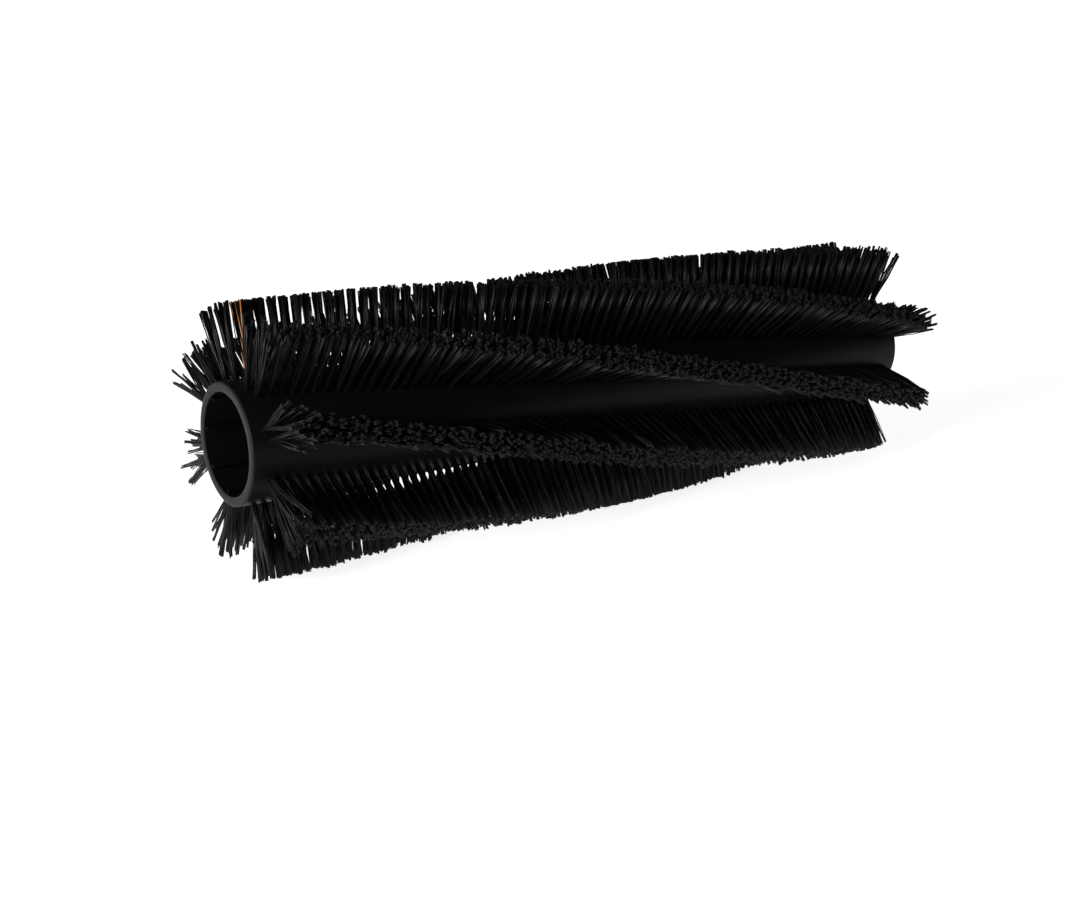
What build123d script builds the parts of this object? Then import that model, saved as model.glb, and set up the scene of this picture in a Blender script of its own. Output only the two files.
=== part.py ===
from build123d import *
from math import cos, pi, sin, sqrt
import os

# Cylindrical main brush (broom roller) of a walk-behind floor scrubber or sweeper, in millimetres.
# A moulded tube carries double rows of bristle tufts that wind round it like a very steep thread.
# The two lines of a row are drilled side by side and parallel, and staggered by half a pitch.
# Each tuft is a bundle of filaments, held in a blind drilled hole by a flat wire staple.
# Origin: the middle of the tube's axis. +X runs along the axis, +Z is up.
# Angles are turned about +X by the right-hand rule, starting from +Z.

# Core tube
CORE_LENGTH = 914.0
CORE_RADIUS = 63.5
BORE_RADIUS = 53.0
MOUTH_ROUNDING = 2.0       # on the outer edge of each end
LEAD_IN = 0.8              # chamfer on the bore's edge and the ribs' ends

# Drive ribs along the bore
RIB_COUNT = 8
RIB_WIDTH = 4.0
RIB_HEIGHT = 3.5
RIB_START = 6.6            # angle of the first rib
RIB_ROOT = 1.0             # how far a rib runs into the wall that it is moulded with

# Bristle rows
ROW_COUNT = 8
ROW_START = 25.1           # angle of the first row's middle at the -X end
ROW_TWIST = 88.0           # turn of a row from the -X end to the +X end
LINE_OFFSET = 5.1          # from a row's middle to each of its two lines of tufts
TUFTS_PER_LINE = 76
TUFT_PITCH = 11.7
LINES = {"leading": -1, "trailing": 1}

# Drilled holes, staples and tufts
HOLE_RADIUS = 2.5
HOLE_DEPTH = 8.0
STAPLE_LENGTH = 4.8
STAPLE_THICKNESS = 0.5
STAPLE_HEIGHT = 2.0
CLEARANCE = 0.1            # between a staple, its hole's floor, its tuft and the hole's wall
TIP_RADIUS = 143.0         # radius of the whole brush
TUFT_TIP_RADIUS = 5.2
TUFT_SIDES = 8             # flats round a tuft, which keep its outer shape exactly convex

HOLE_FLOOR = CORE_RADIUS - HOLE_DEPTH
LINE_LENGTH = (TUFTS_PER_LINE - 1) * TUFT_PITCH
TUFT_FOOT = HOLE_FLOOR + STAPLE_HEIGHT + 2 * CLEARANCE
TUFT_TIP = sqrt(TIP_RADIUS**2 - (LINE_OFFSET + TUFT_TIP_RADIUS) ** 2)


def core_blank():
    """The tube before drilling: a round wall with drive ribs along the bore and eased mouths."""
    rib = Pos(0, BORE_RADIUS - RIB_HEIGHT / 2 + RIB_ROOT / 2) * Rectangle(RIB_WIDTH, RIB_HEIGHT + RIB_ROOT)
    section = Circle(CORE_RADIUS) - Circle(BORE_RADIUS)
    for number in range(RIB_COUNT):
        # In the YZ plane's own axes a positive turn is the same turn about +X.
        section += Rot(0, 0, RIB_START + number * 360 / RIB_COUNT) * rib
    blank = extrude(Plane.YZ * section, amount=CORE_LENGTH / 2, both=True).solid()
    rims = [edge for edge in blank.edges().filter_by(GeomType.CIRCLE) if abs(edge.radius - CORE_RADIUS) < 0.01]
    return fillet(rims, MOUTH_ROUNDING).solid()


def lead_in():
    """The cone that is cut from the +X mouth, to ease the ribs' ends and the bore's edge."""
    depth = RIB_HEIGHT + LEAD_IN
    inner, outer = BORE_RADIUS - RIB_HEIGHT, BORE_RADIUS + LEAD_IN
    mouth = Polyline((0, 0), (outer, 0), (inner, -depth), (0, -depth), close=True)
    # The outline turns about its own Y axis, which points along +X once it stands in the plane.
    upright = Plane(origin=(CORE_LENGTH / 2, 0, 0), x_dir=(0, 1, 0), z_dir=(0, 0, -1))
    return revolve(upright * make_face(mouth), Axis.X).solid()


def tuft_places(row, side):
    """Where the tufts of one line stand. A place's own +Z runs out along its hole."""
    places = []
    first = -LINE_LENGTH / 2 + side * TUFT_PITCH / 4
    for number in range(TUFTS_PER_LINE):
        x = first + number * TUFT_PITCH
        turn = ROW_TWIST * (x + CORE_LENGTH / 2) / CORE_LENGTH
        angle = ROW_START + row * 360 / ROW_COUNT + turn
        places.append(Location((x, 0, 0), (angle, 0, 0)) * Pos(0, -side * LINE_OFFSET, 0))
    return places


def drilled_core():
    """The blank with its mouths eased and one blind hole drilled for each tuft."""
    drill = Pos(0, 0, HOLE_FLOOR) * extrude(Circle(HOLE_RADIUS), amount=2 * HOLE_DEPTH)
    mouth = lead_in()
    cuts = [mouth, mouth.mirror(Plane.YZ)]
    for row in range(ROW_COUNT):
        for side in LINES.values():
            cuts += [drill.solid().moved(place) for place in tuft_places(row, side)]
    return core_blank().cut(*cuts)


def staple():
    """One flat wire staple, lying across the bottom of its hole."""
    base = Pos(0, 0, HOLE_FLOOR + CLEARANCE)
    return base * extrude(Rectangle(STAPLE_LENGTH, STAPLE_THICKNESS), amount=STAPLE_HEIGHT)


def tuft_ring(radius, height):
    """The corners of a tuft's section at one height."""
    turns = [2 * pi * corner / TUFT_SIDES for corner in range(TUFT_SIDES)]
    return [Vector(radius * cos(turn), radius * sin(turn), height) for turn in turns]


def tuft():
    """The outer shape of one bundle of filaments, from its fold over the staple to its trimmed tip."""
    neck = HOLE_RADIUS - CLEARANCE
    spread = (TUFT_TIP_RADIUS - neck) / (TUFT_TIP - CORE_RADIUS)
    low = tuft_ring(neck - spread * (CORE_RADIUS - TUFT_FOOT), TUFT_FOOT)
    high = tuft_ring(TUFT_TIP_RADIUS, TUFT_TIP)
    outlines = [low, high]
    for corner in range(TUFT_SIDES):
        following = (corner + 1) % TUFT_SIDES
        outlines.append([low[corner], low[following], high[following], high[corner]])
    return Solid(Shell([Face(Wire.make_polygon(outline)) for outline in outlines]))


def write(node, solids):
    """One STEP file for one node: a single solid, or a group of separate ones."""
    export_step(Compound(solids), f"parts/{node}.step", write_pcurves=False)


def main():
    os.makedirs("parts", exist_ok=True)
    write("core_tube", drilled_core().solids())
    one_tuft = tuft()
    one_staple = staple().solid()
    for row in range(ROW_COUNT):
        for line, side in LINES.items():
            places = tuft_places(row, side)
            write(f"row_{row + 1}_{line}_tufts", [one_tuft.moved(place) for place in places])
            write(f"row_{row + 1}_{line}_staples", [one_staple.moved(place) for place in places])


main()
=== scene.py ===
import math

import bpy
import numpy as np
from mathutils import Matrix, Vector


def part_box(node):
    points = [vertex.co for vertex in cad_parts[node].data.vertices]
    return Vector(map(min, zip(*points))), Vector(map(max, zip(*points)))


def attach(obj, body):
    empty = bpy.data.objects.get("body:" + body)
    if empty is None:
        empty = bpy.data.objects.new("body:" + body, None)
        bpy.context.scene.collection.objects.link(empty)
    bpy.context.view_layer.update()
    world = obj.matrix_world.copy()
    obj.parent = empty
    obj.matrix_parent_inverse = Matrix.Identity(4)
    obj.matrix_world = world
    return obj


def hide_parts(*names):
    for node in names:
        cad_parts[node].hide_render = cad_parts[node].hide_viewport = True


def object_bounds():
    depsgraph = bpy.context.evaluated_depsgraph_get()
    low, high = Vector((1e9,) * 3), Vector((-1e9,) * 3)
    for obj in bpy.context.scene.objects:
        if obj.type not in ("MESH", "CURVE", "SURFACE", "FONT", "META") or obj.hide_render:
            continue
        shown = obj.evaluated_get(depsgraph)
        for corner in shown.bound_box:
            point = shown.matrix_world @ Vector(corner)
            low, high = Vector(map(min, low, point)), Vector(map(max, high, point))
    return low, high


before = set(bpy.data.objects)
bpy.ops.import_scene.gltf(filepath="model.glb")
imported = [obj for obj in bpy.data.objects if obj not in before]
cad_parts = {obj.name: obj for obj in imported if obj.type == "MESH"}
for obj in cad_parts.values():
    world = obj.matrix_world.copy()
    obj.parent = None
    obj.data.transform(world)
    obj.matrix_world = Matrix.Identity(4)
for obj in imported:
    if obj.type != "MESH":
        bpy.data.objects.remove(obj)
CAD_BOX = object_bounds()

bl_info = {
    "name": "Cylindrical Floor Brush",
    "version": (1, 0, 0),
    "blender": (4, 5, 0),
    "location": "3D View > Sidebar > Floor Brush",
    "description": "Finishes the core tube, the bristle rows and the staples of a floor scrubber's main brush",
    "category": "Object",
}

# The frame gives the places. All lengths are in metres, +X runs along the tube and +Z is up.
CORE_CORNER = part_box("core_tube")[1]
HALF_LENGTH = CORE_CORNER.x
CORE_RADIUS = CORE_CORNER.z
LINE_NODES = sorted(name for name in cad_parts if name.endswith("_tufts"))
STAPLE_NODES = sorted(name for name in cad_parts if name.endswith("_staples"))
TUFTS_PER_LINE = 76
MM = 0.001
PITCH = 11.7 * MM
BORE_RADIUS = 53 * MM
RIB_COUNT = 8
RIB_START = 6.6             # the first rib's angle about +X from +Z, in degrees
RIB_WIDTH, RIB_HEIGHT = 4 * MM, 3.5 * MM
RIB_ROOT = 1 * MM           # how deep a rib is sunk in the wall
RIB_EDGE = 0.5 * MM         # how far a rib's inner edges are eased
RIM_RADIUS = 2.7 * MM       # the middle of the raised rim round a drilled hole
ROOT_DEPTH = 5 * MM         # how far a filament reaches down into its hole
ROOT_SPREAD = 2.1 * MM      # radius of the bundle in its hole
ROOT_SQUEEZE = 0.9          # a filament's width there, as a share of its width further out
BEND = 1.1                  # 1 is a straight filament, and more turns out later
CLUMPS = 6                  # bunches that the tips of one tuft's filaments gather in
END_FADE = 1.3              # how many tufts it takes for the flare at a line's end to fade
LOW_FLARE, HIGH_FLARE = 6 * MM, 9 * MM      # how much further the tips reach at the -X and the +X end
AMBER_PICKS = (("row_8_trailing_tufts", 1, 7), ("row_8_leading_tufts", 2, 5))   # line, tuft, filaments
AMBER_SHIFT = (-2.2 * MM, 0)                # towards -Y, off the black filaments
KEY_SOURCE, KEY_WIDTH = (-0.97, -0.12, 0.12), 25        # the way to the light, and its width in degrees
CAMERA_PLACE = (-1.0276, -1.3267, 0.3710)
CAMERA_TILT, CAMERA_TURN = 74.82, -35.76                # degrees
SENSOR_WIDTH = 36                                       # millimetres


# ---------------------------------------------------------------- settings

class CoreSettings(bpy.types.PropertyGroup):
    colour: bpy.props.FloatVectorProperty(
        name="Core Colour", description="Colour of the moulded core tube",
        subtype="COLOR", size=3, min=0, max=1, default=(0.0030, 0.0029, 0.0031))
    # Cut face colour: lighter than the wall, partly the sawn face's own grey and partly painted light for the
    # end faces that show lit.
    sawn_and_lit_face_colour: bpy.props.FloatVectorProperty(
        name="Cut Face Colour", description="Colour of the sawn ends of the core tube",
        subtype="COLOR", size=3, min=0, max=1, default=(0.0082, 0.0079, 0.0085))
    # Bore colour: darker than the wall, as painted shade inside the tube.
    bore_shade_colour: bpy.props.FloatVectorProperty(
        name="Bore Colour", description="Colour of the unpolished inside of the core tube",
        subtype="COLOR", size=3, min=0, max=1, default=(0.0010, 0.0010, 0.0011))
    sides: bpy.props.IntProperty(
        name="Sides", description="Flats that make the tube round", min=48, max=256, default=144)
    rounding: bpy.props.FloatProperty(
        name="Mouth Rounding", description="Radius on the outer edge of each end",
        subtype="DISTANCE", unit="LENGTH", min=0, max=0.004, default=0.002)
    rim_height: bpy.props.FloatProperty(
        name="Hole Rim", description="Radius of the raised rim that drilling leaves round a hole",
        subtype="DISTANCE", unit="LENGTH", min=0, max=0.001, default=0.0004)


class BristleSettings(bpy.types.PropertyGroup):
    colour: bpy.props.FloatVectorProperty(
        name="Bristle Colour", description="Colour of the black filaments",
        subtype="COLOR", size=3, min=0, max=1, default=(0.0036, 0.0035, 0.0038))
    amber_colour: bpy.props.FloatVectorProperty(
        name="Amber Colour", description="Colour of the few odd filaments in one row's first tufts",
        subtype="COLOR", size=3, min=0, max=1, default=(0.42, 0.17, 0.05))
    filaments: bpy.props.IntProperty(
        name="Filaments", description="Filaments that stand out of one tuft", min=6, max=60, default=40)
    thickness: bpy.props.FloatProperty(
        name="Filament Thickness", description="Diameter of one filament",
        subtype="DISTANCE", unit="LENGTH", min=0.0005, max=0.003, default=0.0013)
    tip_radius: bpy.props.FloatProperty(
        name="Trim Radius", description="Radius that the tips of the bristles are trimmed to",
        subtype="DISTANCE", unit="LENGTH", min=0.1, max=0.2, default=0.143)
    spread_along: bpy.props.FloatProperty(
        name="Spread Along", description="How far a tuft's tip spreads along the tube, to each side",
        subtype="DISTANCE", unit="LENGTH", min=0, max=0.02, default=0.0041)
    spread_across: bpy.props.FloatProperty(
        name="Spread Across", description="How far a tuft's tip spreads round the tube, to each side",
        subtype="DISTANCE", unit="LENGTH", min=0, max=0.02, default=0.0070)
    splay: bpy.props.FloatProperty(
        name="Splay", description="How far the two lines of a row lean apart at their tips, each way",
        subtype="DISTANCE", unit="LENGTH", min=0, max=0.01, default=0.0015)
    end_lean: bpy.props.FloatProperty(
        name="End Lean", description="How far the tips of a line's first tuft lean out past the -X end",
        subtype="DISTANCE", unit="LENGTH", min=0, max=0.03, default=0.003)


class StageSettings(bpy.types.PropertyGroup):
    floor_colour: bpy.props.FloatVectorProperty(
        name="Floor Colour", description="Colour of the plain floor",
        subtype="COLOR", size=3, min=0, max=1, default=(0.86, 0.86, 0.87))
    floor_glow: bpy.props.FloatProperty(
        name="Floor Glow", description="Light that the floor gives by itself, as a light table does",
        min=0, max=2, default=0.85)
    fill: bpy.props.FloatProperty(
        name="Fill Light", description="Light from all round", min=0, max=2, default=0.12)
    key: bpy.props.FloatProperty(
        name="Key Light", description="Strength of the soft light on the -X end", min=0, max=20, default=6.0)
    lens: bpy.props.FloatProperty(
        name="Lens", description="Focal length on a sensor 36 mm wide",
        subtype="DISTANCE_CAMERA", min=20, max=200, default=48.9)


# ---------------------------------------------------------------- materials

def new_material(name):
    """An empty node material with its shader and output joined: (material, nodes, links, shader)."""
    material = bpy.data.materials.new(name)
    material.use_nodes = True
    nodes, links = material.node_tree.nodes, material.node_tree.links
    nodes.clear()
    output = nodes.new("ShaderNodeOutputMaterial")
    shader = nodes.new("ShaderNodeBsdfPrincipled")
    links.new(shader.outputs["BSDF"], output.inputs["Surface"])
    return material, nodes, links, shader


def grain_group():
    """Grain that is drawn out along one axis: a mask and a height from one noise."""
    group = bpy.data.node_groups.get("Drawn Grain")
    if group:
        return group
    group = bpy.data.node_groups.new("Drawn Grain", "ShaderNodeTree")
    group.interface.new_socket("Vector", in_out="INPUT", socket_type="NodeSocketVector")
    stretch = group.interface.new_socket("Stretch", in_out="INPUT", socket_type="NodeSocketVector")
    stretch.default_value = (1, 1, 1)
    scale = group.interface.new_socket("Scale", in_out="INPUT", socket_type="NodeSocketFloat")
    scale.default_value = 400
    group.interface.new_socket("Mask", in_out="OUTPUT", socket_type="NodeSocketFloat")
    group.interface.new_socket("Blotch", in_out="OUTPUT", socket_type="NodeSocketFloat")
    nodes, links = group.nodes, group.links
    inside = nodes.new("NodeGroupInput")
    outside = nodes.new("NodeGroupOutput")
    multiply = nodes.new("ShaderNodeVectorMath")
    multiply.operation = "MULTIPLY"
    noise = nodes.new("ShaderNodeTexNoise")
    noise.inputs["Detail"].default_value = 4
    blotch = nodes.new("ShaderNodeTexNoise")
    blotch.inputs["Scale"].default_value = 18
    blotch.inputs["Detail"].default_value = 3
    links.new(inside.outputs["Vector"], multiply.inputs[0])
    links.new(inside.outputs["Stretch"], multiply.inputs[1])
    links.new(multiply.outputs["Vector"], noise.inputs["Vector"])
    links.new(inside.outputs["Scale"], noise.inputs["Scale"])
    links.new(inside.outputs["Vector"], blotch.inputs["Vector"])
    links.new(noise.outputs["Fac"], outside.inputs["Mask"])
    links.new(blotch.outputs["Fac"], outside.inputs["Blotch"])
    return group


def add_grain(nodes, links, stretch, scale):
    """One use of the grain on a piece's own coordinates."""
    place = nodes.new("ShaderNodeTexCoord")
    grain = nodes.new("ShaderNodeGroup")
    grain.node_tree = grain_group()
    grain.inputs["Stretch"].default_value = stretch
    grain.inputs["Scale"].default_value = scale
    links.new(place.outputs["Object"], grain.inputs["Vector"])
    return grain


def ramp(nodes, links, source, low, high, at=(0.3, 0.7)):
    """A colour ramp from low to high over a value."""
    node = nodes.new("ShaderNodeValToRGB")
    node.color_ramp.elements[0].position, node.color_ramp.elements[1].position = at
    node.color_ramp.elements[0].color = (*low, 1)
    node.color_ramp.elements[1].color = (*high, 1)
    links.new(source, node.inputs["Fac"])
    return node


def span(nodes, links, source, low, high, at=(0.3, 0.7)):
    """A value from low to high as source goes over the stretch at."""
    node = nodes.new("ShaderNodeMapRange")
    node.inputs["From Min"].default_value, node.inputs["From Max"].default_value = at
    node.inputs["To Min"].default_value, node.inputs["To Max"].default_value = low, high
    links.new(source, node.inputs["Value"])
    return node


def blend(nodes, links, mask, under, over):
    """The colour under where the mask is 0 and over where it is 1. Over is a node's colour or a constant."""
    node = nodes.new("ShaderNodeMix")
    node.data_type = "RGBA"
    links.new(mask, node.inputs["Factor"])
    links.new(under, node.inputs["A"])
    if isinstance(over, tuple):
        node.inputs["B"].default_value = (*over, 1)
    else:
        links.new(over, node.inputs["B"])
    return node.outputs["Result"]


def relief(nodes, links, height, strength, distance):
    """Bump from a height."""
    node = nodes.new("ShaderNodeBump")
    node.inputs["Strength"].default_value = strength
    node.inputs["Distance"].default_value = distance
    links.new(height, node.inputs["Height"])
    return node.outputs["Normal"]


def lighter(colour, factor):
    """The colour times the factor, no part over 1."""
    return tuple(min(part * factor, 1) for part in colour)


def end_mask(nodes, links, settings):
    """1 on the sawn ends of the tube and 0 on its sides."""
    place = nodes.new("ShaderNodeTexCoord")
    split = nodes.new("ShaderNodeSeparateXYZ")
    links.new(place.outputs["Object"], split.inputs["Vector"])
    along = nodes.new("ShaderNodeMath")
    along.operation = "ABSOLUTE"
    links.new(split.outputs["X"], along.inputs[0])
    stretch = (HALF_LENGTH - settings.rounding, HALF_LENGTH - settings.rounding / 3)
    return span(nodes, links, along.outputs["Value"], 0, 1, stretch).outputs["Result"]


def core_material(settings):
    """Satin black moulded plastic with faint lengthwise drawing marks, greyer on its sawn ends: partly the sawn
    face's own grey, partly painted light for the end faces that show lit.
    """
    material, nodes, links, shader = new_material("core plastic")
    grain = add_grain(nodes, links, (0.04, 1, 1), 900)
    wall = ramp(nodes, links, grain.outputs["Blotch"], settings.colour, lighter(settings.colour, 1.6))
    saw = add_grain(nodes, links, (1, 1, 0.05), 700)
    # The ends' lighter colour: partly a sawn face's grey, partly painted light.
    sawn = ramp(nodes, links, saw.outputs["Mask"],
                lighter(settings.sawn_and_lit_face_colour, 0.75), lighter(settings.sawn_and_lit_face_colour, 1.3))
    ends = end_mask(nodes, links, settings)
    colour = blend(nodes, links, ends, wall.outputs["Color"], sawn.outputs["Color"])
    rough = span(nodes, links, grain.outputs["Mask"], 0.28, 0.46)
    links.new(colour, shader.inputs["Base Color"])
    links.new(rough.outputs["Result"], shader.inputs["Roughness"])
    links.new(relief(nodes, links, grain.outputs["Mask"], 0.15, 0.4 * MM), shader.inputs["Normal"])
    shader.inputs["Specular IOR Level"].default_value = 0.05
    return material


def bore_material(settings):
    """The dull, unpolished inside of the tube, its colour darker than the wall as painted shade."""
    material, nodes, links, shader = new_material("bore plastic")
    grain = add_grain(nodes, links, (0.3, 1, 1), 300)
    # Darker than the wall: painted shade inside the bore.
    wall = ramp(nodes, links, grain.outputs["Blotch"], settings.bore_shade_colour, lighter(settings.bore_shade_colour, 1.8))
    rough = span(nodes, links, grain.outputs["Mask"], 0.7, 0.9)
    links.new(wall.outputs["Color"], shader.inputs["Base Color"])
    links.new(rough.outputs["Result"], shader.inputs["Roughness"])
    shader.inputs["Specular IOR Level"].default_value = 0.04
    return material


def filament_material(name, colour, gloss):
    """Synthetic filament. The map's U is a filament's own shade and V runs from root to tip."""
    material, nodes, links, shader = new_material(name)
    chart = nodes.new("ShaderNodeUVMap")
    chart.uv_map = "filament"
    split = nodes.new("ShaderNodeSeparateXYZ")
    links.new(chart.outputs["UV"], split.inputs["Vector"])
    shade = ramp(nodes, links, split.outputs["X"], lighter(colour, 0.7), lighter(colour, 1.4), (0.1, 1))
    worn = span(nodes, links, split.outputs["Y"], 0, 0.5, (0.9, 1))
    tipped = blend(nodes, links, worn.outputs["Result"], shade.outputs["Color"], lighter(colour, 1.3))
    rough = span(nodes, links, split.outputs["X"], 0.36, 0.55, (0, 1))
    crimp = add_grain(nodes, links, (1, 1, 1), 900)
    links.new(tipped, shader.inputs["Base Color"])
    links.new(rough.outputs["Result"], shader.inputs["Roughness"])
    links.new(relief(nodes, links, crimp.outputs["Mask"], 0.2, 0.3 * MM), shader.inputs["Normal"])
    shader.inputs["Specular IOR Level"].default_value = gloss
    return material


def wire_material():
    """Flat galvanised anchor wire."""
    material, nodes, links, shader = new_material("staple wire")
    shader.inputs["Metallic"].default_value = 1
    grain = add_grain(nodes, links, (1, 1, 1), 1500)
    colour = ramp(nodes, links, grain.outputs["Mask"], (0.42, 0.41, 0.4), (0.62, 0.61, 0.6))
    rough = span(nodes, links, grain.outputs["Mask"], 0.3, 0.5)
    links.new(colour.outputs["Color"], shader.inputs["Base Color"])
    links.new(rough.outputs["Result"], shader.inputs["Roughness"])
    return material


def floor_material(settings):
    """A plain pale floor with a barely visible mottle."""
    material, nodes, links, shader = new_material("pale floor")
    grain = add_grain(nodes, links, (1, 1, 1), 60)
    colour = ramp(nodes, links, grain.outputs["Mask"], settings.floor_colour,
                  lighter(settings.floor_colour, 1.03))
    links.new(colour.outputs["Color"], shader.inputs["Base Color"])
    shader.inputs["Emission Color"].default_value = (1, 1, 1, 1)
    shader.inputs["Emission Strength"].default_value = settings.floor_glow
    shader.inputs["Roughness"].default_value = 0.7
    return material


# ---------------------------------------------------------------- shapes

def deselect():
    """Leaves edit mode, with nothing selected."""
    if bpy.context.object and bpy.context.object.mode != "OBJECT":
        bpy.ops.object.mode_set(mode="OBJECT")
    bpy.ops.object.select_all(action="DESELECT")


def pick(piece, kind, test):
    """Enters edit mode with only the vertices, edges or faces selected whose points pass the test."""
    deselect()
    bpy.context.view_layer.objects.active = piece
    piece.select_set(True)
    bpy.ops.object.mode_set(mode="EDIT")
    bpy.ops.mesh.select_mode(type=kind)
    bpy.ops.mesh.select_all(action="DESELECT")
    bpy.ops.object.mode_set(mode="OBJECT")
    data = piece.data
    items = {"VERT": data.vertices, "EDGE": data.edges, "FACE": data.polygons}[kind]
    for item in items:
        corners = [item.index] if kind == "VERT" else item.vertices
        item.select = test([data.vertices[corner].co for corner in corners])
    bpy.ops.object.mode_set(mode="EDIT")


def at_mouth(radius):
    """A test for points that all lie on one end face, at about the given radius."""
    def test(points):
        on_face = all(abs(abs(point.x) - HALF_LENGTH) < 0.01 * MM for point in points)
        same_end = len({point.x > 0 for point in points}) == 1
        near = all(abs(math.hypot(point.y, point.z) - radius) < MM for point in points)
        return on_face and same_end and near
    return test


def core_wall(settings):
    """The round wall of the tube, with rounded mouths."""
    deselect()
    bpy.ops.mesh.primitive_cylinder_add(
        vertices=settings.sides, radius=CORE_RADIUS, depth=2 * HALF_LENGTH, rotation=(0, math.radians(90), 0))
    tube = bpy.context.object
    tube.name = "core_tube_finished"
    bpy.ops.object.transform_apply(rotation=True)
    pick(tube, "FACE", at_mouth(CORE_RADIUS))
    bpy.ops.mesh.inset(thickness=CORE_RADIUS - BORE_RADIUS)
    bpy.ops.mesh.bridge_edge_loops()
    pick(tube, "EDGE", at_mouth(CORE_RADIUS))
    bpy.ops.mesh.bevel(offset=settings.rounding, segments=4)
    pick(tube, "EDGE", at_mouth(BORE_RADIUS))
    bpy.ops.mesh.bevel(offset=settings.rounding * 0.4, segments=2)
    bpy.ops.mesh.select_all(action="SELECT")
    bpy.ops.mesh.normals_make_consistent(inside=False)
    bpy.ops.object.mode_set(mode="OBJECT")
    return tube


def drive_rib(turn):
    """One rib along the bore, with eased edges and ends, turned about the tube's axis."""
    deselect()
    middle = BORE_RADIUS + RIB_ROOT - (RIB_HEIGHT + RIB_ROOT) / 2
    bpy.ops.mesh.primitive_cube_add(
        size=1, location=(0, 0, middle), scale=(2 * HALF_LENGTH - MM, RIB_WIDTH, RIB_HEIGHT + RIB_ROOT))
    rib = bpy.context.object
    bpy.ops.object.transform_apply(location=True, scale=True)
    for end in (-1, 1):
        pick(rib, "VERT", lambda points: points[0].x * end > 0 and points[0].z < middle)
        bpy.ops.transform.translate(value=(-end * RIB_HEIGHT * 0.7, 0, 0))
    pick(rib, "EDGE", lambda points: all(point.z < middle for point in points))
    bpy.ops.mesh.bevel(offset=RIB_EDGE, segments=2)
    bpy.ops.object.mode_set(mode="OBJECT")
    rib.rotation_euler.x = turn
    bpy.ops.object.transform_apply(rotation=True)
    return rib


def join(pieces):
    """Joins the pieces into the first of them."""
    deselect()
    for piece in pieces:
        piece.select_set(True)
    bpy.context.view_layer.objects.active = pieces[0]
    bpy.ops.object.join()
    return pieces[0]


def fuse(piece, other):
    """Unites two closed shapes into one skin."""
    deselect()
    bpy.context.view_layer.objects.active = piece
    piece.select_set(True)
    union = piece.modifiers.new("union", "BOOLEAN")
    union.operation = "UNION"
    union.object = other
    bpy.ops.object.modifier_apply(modifier=union.name)
    bpy.data.objects.remove(other)


def rim_master(settings):
    """The low raised rim round one drilled hole, lying flat at the origin."""
    deselect()
    bpy.ops.mesh.primitive_torus_add(
        major_segments=10, minor_segments=4, major_radius=RIM_RADIUS, minor_radius=settings.rim_height)
    return bpy.context.object


def hole_rims(settings):
    """A rim round every hole of every line, as one mesh."""
    rng = np.random.default_rng(7)
    master_piece = rim_master(settings)
    points, faces = read_master(master_piece)[:2]
    bpy.data.objects.remove(master_piece)
    rims = []
    for node in LINE_NODES:
        for x, foot, tip in tuft_places(node):
            out, across, offset, root_height = tuft_frame(foot, tip)
            middle = out * root_height + across * offset
            normal = middle / np.linalg.norm(middle)
            tangent = np.array((-normal[1], normal[0]))
            wide = rng.uniform(0.92, 1.08)
            flat = points[:, :2] * wide
            # The rim follows the tube's curve, so its sides drop away from its middle.
            drop = flat[:, 1] ** 2 / (2 * CORE_RADIUS)
            rise = points[:, 2] * rng.uniform(0.7, 1.3) - drop
            place = middle[None, :] + flat[:, 1:2] * tangent + rise[:, None] * normal
            rims.append(np.stack((x + flat[:, 0], place[:, 0], place[:, 1]), axis=-1))
    places = np.concatenate(rims)
    chart = np.zeros((len(places), 2))
    return mesh_of_copies("hole_rims", places, chart, points, faces, [True] * len(faces))


def filament_master():
    """One straight filament of unit radius and unit length along +Z."""
    deselect()
    bpy.ops.mesh.primitive_cylinder_add(vertices=5, radius=1, depth=1, location=(0, 0, 0.5))
    piece = bpy.context.object
    piece.name = "filament_master"
    bpy.ops.object.transform_apply(location=True)
    bpy.ops.object.mode_set(mode="EDIT")
    for height in (0.25, 0.6):
        bpy.ops.mesh.select_all(action="SELECT")
        bpy.ops.mesh.bisect(plane_co=(0, 0, height), plane_no=(0, 0, 1))
    bpy.ops.mesh.select_all(action="DESELECT")
    bpy.ops.object.mode_set(mode="OBJECT")
    return piece


def read_master(piece):
    """The master's points, its faces as lists of corners, and which faces are smooth: all but its flat ends."""
    points = np.array([vertex.co for vertex in piece.data.vertices], float)
    # A copy's directions, along, across and out, are left-handed, so its corners run the other way round.
    faces = [list(face.vertices)[::-1] for face in piece.data.polygons]
    smooth = [abs(face.normal.z) < 0.9 for face in piece.data.polygons]
    return points, faces, smooth


def tuft_places(node):
    """Where each tuft of a line stands, read from its CAD node: (x, foot, tip), both in the YZ plane."""
    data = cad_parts[node].data
    points = np.zeros(len(data.vertices) * 3)
    data.vertices.foreach_get("co", points)
    points = points.reshape(-1, 3)
    outward = np.hypot(points[:, 1], points[:, 2])
    tips, feet = points[outward > CORE_RADIUS * 1.5], points[outward < CORE_RADIUS]
    first = (feet[:, 0].min() + feet[:, 0].max() - (TUFTS_PER_LINE - 1) * PITCH) / 2
    places = []
    for number in range(TUFTS_PER_LINE):
        x = first + number * PITCH
        foot = feet[np.abs(feet[:, 0] - x) < PITCH / 2].mean(axis=0)
        tip = tips[np.abs(tips[:, 0] - x) < PITCH / 2].mean(axis=0)
        places.append((x, foot[1:], tip[1:]))
    return places


def tuft_frame(foot, tip):
    """A tuft's own directions in the YZ plane: out along it, across it, its offset and its root's height."""
    out = (tip - foot) / np.linalg.norm(tip - foot)
    across = np.array((-out[1], out[0]))
    offset = foot @ across
    return out, across, offset, math.sqrt(CORE_RADIUS ** 2 - offset ** 2)


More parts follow.
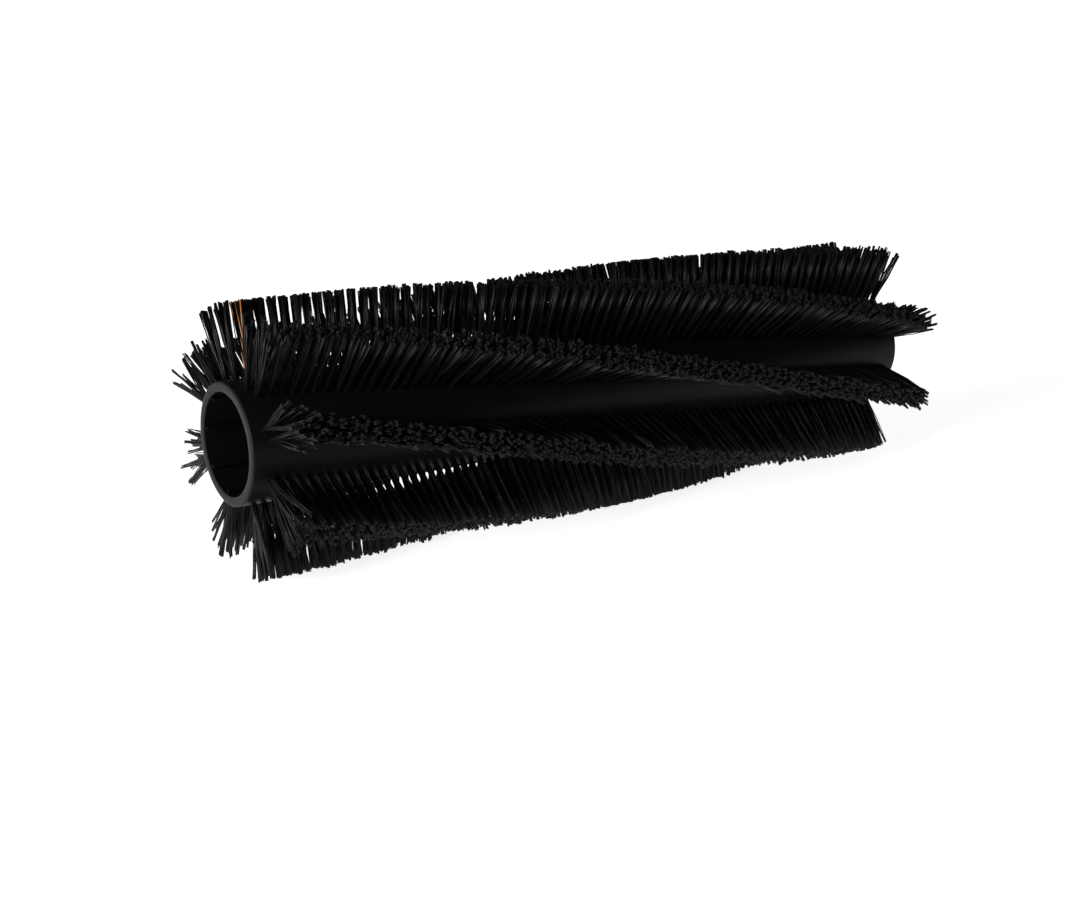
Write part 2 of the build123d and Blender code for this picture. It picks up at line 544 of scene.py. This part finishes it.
def tuft_tips(rng, settings, count, near_low, near_high):
    """Where the filaments of one tuft end, along and across, and how much shorter than the trim each is."""
    reach_low = settings.spread_along + near_low * LOW_FLARE
    reach_high = settings.spread_along + near_high * HIGH_FLARE
    reach_across = settings.spread_across * (1 + 1.6 * near_low + 0.6 * near_high)
    start = rng.uniform(0, 2 * math.pi)
    around = start + 2 * math.pi * np.arange(CLUMPS) / CLUMPS + rng.normal(0, 0.3, CLUMPS)
    out = np.sqrt(rng.uniform(0.1, 1, CLUMPS))
    clump_along = np.cos(around) * out
    clump_along = np.where(clump_along < 0, clump_along * reach_low, clump_along * reach_high)
    clump_across = np.sin(around) * out * reach_across
    clump_short = np.abs(rng.normal(0, 1.7 * MM, CLUMPS))
    which = np.arange(count) % CLUMPS
    along = clump_along[which] + rng.normal(0, 0.8 * MM, count)
    across = clump_across[which] + rng.normal(0, 1.0 * MM, count)
    short = clump_short[which] + np.abs(rng.normal(0, 0.9 * MM, count))
    return along, across, short


def grow_tuft(rng, settings, points, place, near_low, near_high, count):
    """The points of one tuft's filaments, each bent from its root in the hole to its trimmed tip."""
    x, foot, tip = place
    out, side, offset, root_height = tuft_frame(foot, tip)
    lean_along = rng.normal(0, 0.8 * MM) - near_low * settings.end_lean + near_high * 1.5 * MM
    lean_across = rng.normal(0, 1.2 * MM) + math.copysign(settings.splay * (1 + 6 * near_low), offset)
    tip_along, tip_across, short = tuft_tips(rng, settings, count, near_low, near_high)
    tip_along, tip_across = tip_along + lean_along, tip_across + lean_across
    root_turn = rng.uniform(0, 2 * math.pi, count)
    root_out = ROOT_SPREAD * np.sqrt(rng.uniform(0, 1, count))
    root_along, root_across = np.cos(root_turn) * root_out, np.sin(root_turn) * root_out
    tuft_short = 1.2 * MM * abs(rng.normal())
    trim_height = np.sqrt(settings.tip_radius ** 2 - (offset + tip_across) ** 2) - root_height
    tip_height = trim_height - short - tuft_short
    bow_along, bow_across = rng.normal(0, 1.2 * MM, count), rng.normal(0, 1.3 * MM, count)
    half_thick = settings.thickness / 2 * rng.uniform(0.85, 1.15, count)
    height = -ROOT_DEPTH + points[None, :, 2] * (tip_height + ROOT_DEPTH)[:, None]
    share = np.clip(height / tip_height[:, None], 0, 1)
    bend, bowed = share ** BEND, np.sin(math.pi * share)
    width = half_thick[:, None] * (ROOT_SQUEEZE + (1 - ROOT_SQUEEZE) * np.clip(share * 3, 0, 1))
    along = root_along[:, None] + (tip_along - root_along)[:, None] * bend + bow_along[:, None] * bowed
    across = root_across[:, None] + (tip_across - root_across)[:, None] * bend + bow_across[:, None] * bowed
    along = along + width * points[None, :, 0]
    across = offset + across + width * points[None, :, 1]
    radial = root_height + height
    y = radial * out[0] + across * side[0]
    z = radial * out[1] + across * side[1]
    return np.stack((x + along, y, z), axis=-1)


def filament_chart(shade, points):
    """The map of some filaments: each one's own shade, and how far along it a point lies."""
    return np.stack((np.repeat(shade, len(points)), np.tile(points[:, 2], len(shade))), axis=-1)


def near_end(tufts_away):
    """How strongly the flare of a line's end shows in a tuft, from 1 in the last one towards 0."""
    return math.exp(-tufts_away / END_FADE)


def grow_line(name, node, settings, master, seed):
    """One line of tufts, every filament a copy of the master."""
    rng = np.random.default_rng(seed)
    points, faces, smooth = master
    places = tuft_places(node)
    all_points, all_charts = [], []
    for number, place in enumerate(places):
        near_low, near_high = near_end(number), near_end(len(places) - 1 - number)
        grown = grow_tuft(rng, settings, points, place, near_low, near_high, settings.filaments)
        all_points.append(grown.reshape(-1, 3))
        all_charts.append(filament_chart(rng.uniform(0, 1, settings.filaments), points))
    return mesh_of_copies(name, np.concatenate(all_points), np.concatenate(all_charts), points, faces, smooth)


def grow_amber(name, settings, master):
    """A few odd filaments among the first tufts of a row, on the side that faces -Y."""
    rng = np.random.default_rng(31)
    points, faces, smooth = master
    grown = []
    for node, number, count in AMBER_PICKS:
        x, foot, tip = tuft_places(node)[number]
        place = (x, foot + AMBER_SHIFT, tip + AMBER_SHIFT)
        grown.append(grow_tuft(rng, settings, points, place, near_end(number), 0, count))
    places = np.concatenate([each.reshape(-1, 3) for each in grown])
    chart = filament_chart(rng.uniform(0, 1, len(places) // len(points)), points)
    return mesh_of_copies(name, places, chart, points, faces, smooth)


def mesh_of_copies(name, places, chart, points, faces, smooth):
    """A mesh of many copies of the master, with its map named filament."""
    copies = len(places) // len(points)
    sizes = np.array([len(face) for face in faces])
    corners = np.concatenate([np.array(face) for face in faces])
    shift = np.arange(copies) * len(points)
    loops = (corners[None, :] + shift[:, None]).ravel()
    totals = np.tile(sizes, copies)
    starts = np.concatenate(([0], np.cumsum(totals)[:-1]))
    mesh = bpy.data.meshes.new(name)
    mesh.vertices.add(len(places))
    mesh.loops.add(len(loops))
    mesh.polygons.add(len(totals))
    mesh.vertices.foreach_set("co", places.astype(np.float32).ravel())
    mesh.loops.foreach_set("vertex_index", loops.astype(np.int32))
    mesh.polygons.foreach_set("loop_start", starts.astype(np.int32))
    mesh.polygons.foreach_set("use_smooth", np.tile(np.array(smooth, bool), copies))
    mesh.update(calc_edges=True)
    layer = mesh.uv_layers.new(name="filament")
    layer.data.foreach_set("uv", chart[loops].astype(np.float32).ravel())
    mesh.validate()
    piece = bpy.data.objects.new(name, mesh)
    bpy.context.scene.collection.objects.link(piece)
    return piece


# ---------------------------------------------------------------- operators

class ROLLER_OT_core(bpy.types.Operator):
    """Models the core tube with its rounded mouths, drive ribs and drilled rims"""
    bl_idname = "roller.core"
    bl_label = "Core Tube"

    def execute(self, context):
        settings = context.scene.roller_core
        tube = core_wall(settings)
        turns = [math.radians(RIB_START + number * 360 / RIB_COUNT) for number in range(RIB_COUNT)]
        fuse(tube, join([drive_rib(turn) for turn in turns]))
        tube = join([tube, hole_rims(settings)])
        deselect()
        tube.select_set(True)
        bpy.ops.object.shade_smooth_by_angle(angle=math.radians(35))
        tube.data.materials.clear()
        tube.data.materials.append(core_material(settings))
        tube.data.materials.append(bore_material(settings))
        # Faces inside the bore get its darker colour, painted shade.
        for face in tube.data.polygons:
            inside = math.hypot(face.center.y, face.center.z) < BORE_RADIUS + 0.1 * MM
            face.material_index = int(inside and abs(face.center.x) < HALF_LENGTH - MM)
        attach(tube, "root")
        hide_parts("core_tube")
        return {"FINISHED"}


class ROLLER_OT_bristles(bpy.types.Operator):
    """Grows the filaments of every line of tufts"""
    bl_idname = "roller.bristles"
    bl_label = "Bristle Rows"

    def execute(self, context):
        settings = context.scene.roller_bristles
        black = filament_material("black filament", settings.colour, 0.16)
        amber = filament_material("amber filament", settings.amber_colour, 0.4)
        master_piece = filament_master()
        master = read_master(master_piece)
        bpy.data.objects.remove(master_piece)
        for number, node in enumerate(LINE_NODES):
            piece = grow_line(node.replace("_tufts", "_bristles"), node, settings, master, 100 + number)
            piece.data.materials.append(black)
            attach(piece, "root")
            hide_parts(node)
        odd = grow_amber("amber_filaments", settings, master)
        odd.data.materials.append(amber)
        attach(odd, "root")
        return {"FINISHED"}


class ROLLER_OT_staples(bpy.types.Operator):
    """Finishes the anchor staples in galvanised wire"""
    bl_idname = "roller.staples"
    bl_label = "Staples"

    def execute(self, context):
        material = wire_material()
        for name in STAPLE_NODES:
            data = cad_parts[name].data
            data.materials.clear()
            data.materials.append(material)
        return {"FINISHED"}


class ROLLER_OT_stage(bpy.types.Operator):
    """Sets the floor, the light and the camera"""
    bl_idname = "roller.stage"
    bl_label = "Stage"

    def execute(self, context):
        settings = context.scene.roller_stage
        deselect()
        bpy.ops.mesh.primitive_plane_add(size=60, location=(0, 0, CAD_BOX[0][2] - 0.0005))
        floor = context.object
        floor.name = "floor"
        floor.data.materials.append(floor_material(settings))
        context.scene.world = studio_world(settings)
        add_sun("key_light", KEY_SOURCE, settings.key, KEY_WIDTH)
        camera_data = bpy.data.cameras.new("camera")
        camera = bpy.data.objects.new("camera", camera_data)
        context.scene.collection.objects.link(camera)
        camera_data.lens = settings.lens
        camera_data.sensor_width = SENSOR_WIDTH
        camera.location = CAMERA_PLACE
        camera.rotation_euler = (math.radians(CAMERA_TILT), 0, math.radians(CAMERA_TURN))
        context.scene.camera = camera
        context.scene.view_settings.view_transform = "Standard"
        return {"FINISHED"}


def studio_world(settings):
    """Dim white light from all round, with a backdrop that shows as plain white."""
    world = bpy.data.worlds.new("studio")
    world.use_nodes = True
    nodes, links = world.node_tree.nodes, world.node_tree.links
    background = nodes["Background"]
    background.inputs["Color"].default_value = (1, 1, 1, 1)
    path = nodes.new("ShaderNodeLightPath")
    strength = span(nodes, links, path.outputs["Is Camera Ray"], settings.fill, 1, (0, 1))
    links.new(strength.outputs["Result"], background.inputs["Strength"])
    return world


def add_sun(name, source, strength, width):
    """A broad soft light from far away, where source is the way towards it and width is in degrees."""
    light = bpy.data.lights.new(name, "SUN")
    light.angle = math.radians(width)
    light.energy = strength
    lamp = bpy.data.objects.new(name, light)
    bpy.context.scene.collection.objects.link(lamp)
    lamp.rotation_euler = (-Vector(source)).to_track_quat("-Z", "Y").to_euler()


class ROLLER_PT_panel(bpy.types.Panel):
    bl_idname = "ROLLER_PT_panel"
    bl_label = "Floor Brush"
    bl_space_type = "VIEW_3D"
    bl_region_type = "UI"
    bl_category = "Floor Brush"

    def draw(self, context):
        for step in STEPS:
            self.layout.operator(step)


STEPS = ("roller.core", "roller.bristles", "roller.staples", "roller.stage")
CLASSES = (
    CoreSettings, BristleSettings, StageSettings,
    ROLLER_OT_core, ROLLER_OT_bristles, ROLLER_OT_staples, ROLLER_OT_stage, ROLLER_PT_panel,
)


def register():
    for item in CLASSES:
        bpy.utils.register_class(item)
    bpy.types.Scene.roller_core = bpy.props.PointerProperty(type=CoreSettings)
    bpy.types.Scene.roller_bristles = bpy.props.PointerProperty(type=BristleSettings)
    bpy.types.Scene.roller_stage = bpy.props.PointerProperty(type=StageSettings)


def unregister():
    del bpy.types.Scene.roller_core
    del bpy.types.Scene.roller_bristles
    del bpy.types.Scene.roller_stage
    for item in reversed(CLASSES):
        bpy.utils.unregister_class(item)


def main():
    register()
    for step in STEPS:
        module, operator = step.split(".")
        getattr(getattr(bpy.ops, module), operator)()


if __name__ == "__main__":
    main()
